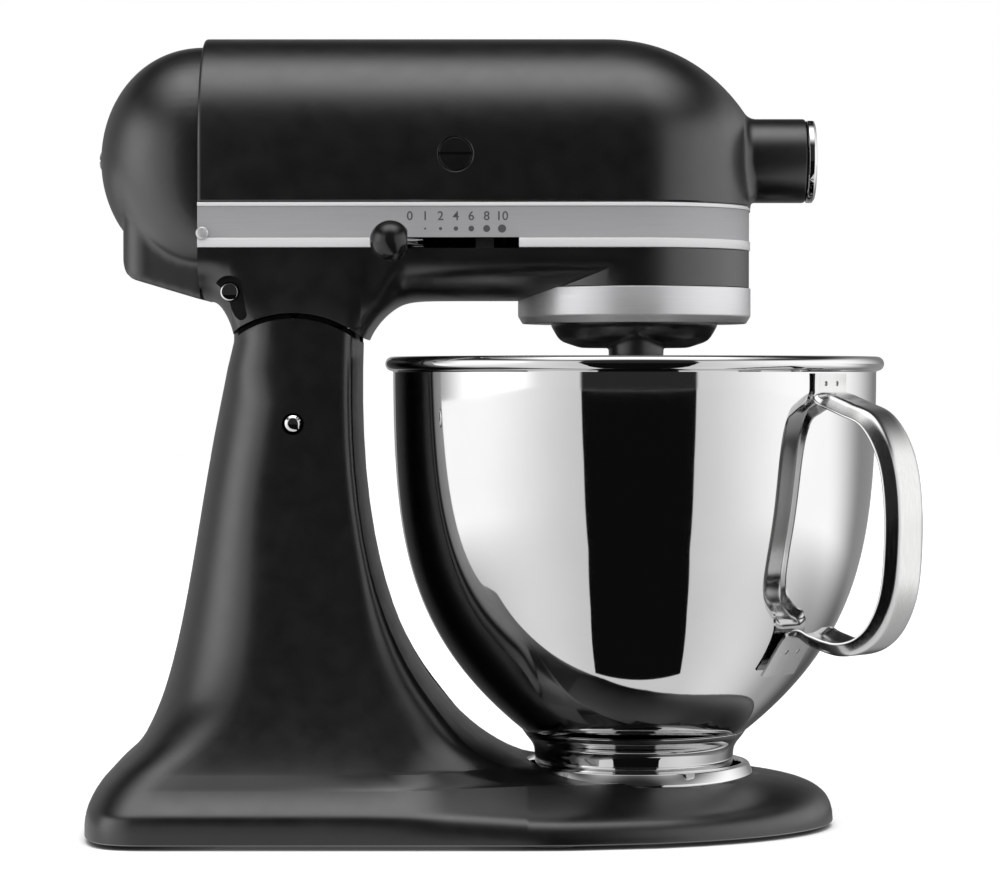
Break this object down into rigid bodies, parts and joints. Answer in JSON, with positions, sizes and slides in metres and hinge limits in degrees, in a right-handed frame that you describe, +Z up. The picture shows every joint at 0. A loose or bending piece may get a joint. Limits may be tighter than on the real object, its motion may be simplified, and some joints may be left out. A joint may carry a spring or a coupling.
{
  "type": "stand mixer",
  "caption": "Tilt-head kitchen stand mixer with planetary beater, speed lever, attachment hub and steel bowl with handle",
  "frame": {"origin": "middle of the mixer's outline on the surface that its feet stand on", "axes": "+X from the column towards the bowl and attachment hub, +Y away from the speed lever's side, +Z up"},
  "size_m": [0.3612, 0.2234, 0.3528],
  "materials": {
    "casting_black": "satin black powder coat on die-cast metal",
    "plastic_black": "moulded black plastic",
    "rubber_foot": "moulded grey-black rubber",
    "steel_polished": "mirror-polished stainless steel",
    "steel_brushed": "brushed stainless steel",
    "trim_silver": "silver trim, satin",
    "steel_machined": "machined steel",
    "bronze": "sintered bronze",
    "copper_winding": "varnished copper winding",
    "carbon": "pressed carbon"
  },
  "bodies": {
    "base": {"pedestal": "casting_black", "foot_1": "rubber_foot", "foot_2": "rubber_foot", "foot_3": "rubber_foot", "foot_4": "rubber_foot", "foot_5": "rubber_foot", "bowl_clamp_plate": "steel_polished", "clamp_screw_1": "steel_machined", "clamp_screw_2": "steel_machined", "clamp_screw_3": "steel_machined", "clamp_screw_4": "steel_machined", "hinge_pin": "steel_polished", "beater_height_screw": "steel_machined"},
    "head": {"lower_housing": "casting_black", "housing_screw": "steel_machined", "upper_housing": "casting_black", "trim_band": "trim_silver", "trim_screw_near": "steel_polished", "trim_screw_far": "steel_polished", "brush_cap_near": "plastic_black", "brush_cap_far": "plastic_black", "brush_holder_near": "bronze", "brush_holder_far": "bronze", "brush_near": "carbon", "brush_far": "carbon", "end_cover": "casting_black", "end_cover_screw": "steel_machined", "cord_gland": "rubber_foot", "motor_field": "steel_machined", "rear_bracket": "steel_machined", "rear_bearing": "bronze", "gear_bracket": "steel_machined", "front_bearing": "bronze", "upper_bushing": "bronze", "lower_bushing": "bronze", "hub_bushing": "bronze", "drip_ring": "trim_silver", "ring_gear": "steel_machined", "hub_hinge_pin": "steel_machined"},
    "armature": {"armature_shaft": "steel_machined", "armature_core": "copper_winding", "cooling_fan": "plastic_black"},
    "worm_drive": {"worm_wheel": "bronze", "pinion_shaft": "steel_machined"},
    "planetary_drive": {"center_gear": "steel_machined", "center_shaft": "steel_machined", "planetary": "casting_black"},
    "beater": {"beater_shaft": "steel_brushed", "flat_beater": "trim_silver"},
    "hub_drive": {"hub_gear": "steel_machined"},
    "hub_lid": {"hub_cover": "steel_polished"},
    "knob": {"attachment_knob": "plastic_black"},
    "speed_control": {"speed_lever": "steel_polished", "speed_knob": "plastic_black"},
    "lock": {"lock_shaft": "steel_polished", "lock_lever": "steel_machined", "lock_knob": "plastic_black"},
    "bowl_set": {"bowl": "steel_polished", "bowl_foot": "steel_polished", "bowl_handle": "steel_brushed"}
  },
  "joints": [
    {"name": "head_tilt", "type": "hinge", "parent": "base", "child": "head", "pos_m": [-0.08881, 0, 0.1809], "axis": [0, -1, 0], "range_deg": [0, 40]},
    {"name": "planetary_spin", "type": "hinge", "parent": "head", "child": "planetary_drive", "pos_m": [0.06189, 0, 0.22], "axis": [0, 0, 1], "continuous": true},
    {"name": "beater_spin", "type": "hinge", "parent": "planetary_drive", "child": "beater", "pos_m": [0.06189, -0.022, 0.22], "axis": [0, 0, 1], "continuous": true},
    {"name": "worm_wheel_spin", "type": "hinge", "parent": "head", "child": "worm_drive", "pos_m": [0.01651, 0.021, 0.2984], "axis": [0, 0, 1], "continuous": true},
    {"name": "armature_spin", "type": "hinge", "parent": "head", "child": "armature", "pos_m": [0.00389, 0, 0.2984], "axis": [1, 0, 0], "continuous": true},
    {"name": "hub_drive_spin", "type": "hinge", "parent": "head", "child": "hub_drive", "pos_m": [0.10389, 0, 0.2984], "axis": [1, 0, 0], "continuous": true},
    {"name": "hub_cover_flip", "type": "hinge", "parent": "head", "child": "hub_lid", "pos_m": [0.14059, 0, 0.3146], "axis": [0, -1, 0], "range_deg": [0, 105]},
    {"name": "attachment_knob_turn", "type": "hinge", "parent": "head", "child": "knob", "pos_m": [0.12789, 0, 0.2984], "axis": [0, 1, 0], "range_deg": [0, 360]},
    {"name": "speed_slide", "type": "slide", "parent": "head", "child": "speed_control", "axis": [1, 0, 0], "range_m": [0, 0.04]},
    {"name": "lock_turn", "type": "hinge", "parent": "head", "child": "lock", "pos_m": [-0.11651, 0, 0.2386], "axis": [0, -1, 0], "range_deg": [0, 35]},
    {"name": "bowl_twist", "type": "hinge", "parent": "base", "child": "bowl_set", "pos_m": [0.06189, 0, 0.03], "axis": [0, 0, 1], "range_deg": [0, 20]}
  ],
  "couplings": [
    {"joint": "beater_spin", "follows": "planetary_spin", "ratio": -2.5714},
    {"joint": "worm_wheel_spin", "follows": "planetary_spin", "ratio": -3.1667},
    {"joint": "armature_spin", "follows": "planetary_spin", "ratio": 31.667},
    {"joint": "hub_drive_spin", "follows": "planetary_spin", "ratio": 1}
  ]
}
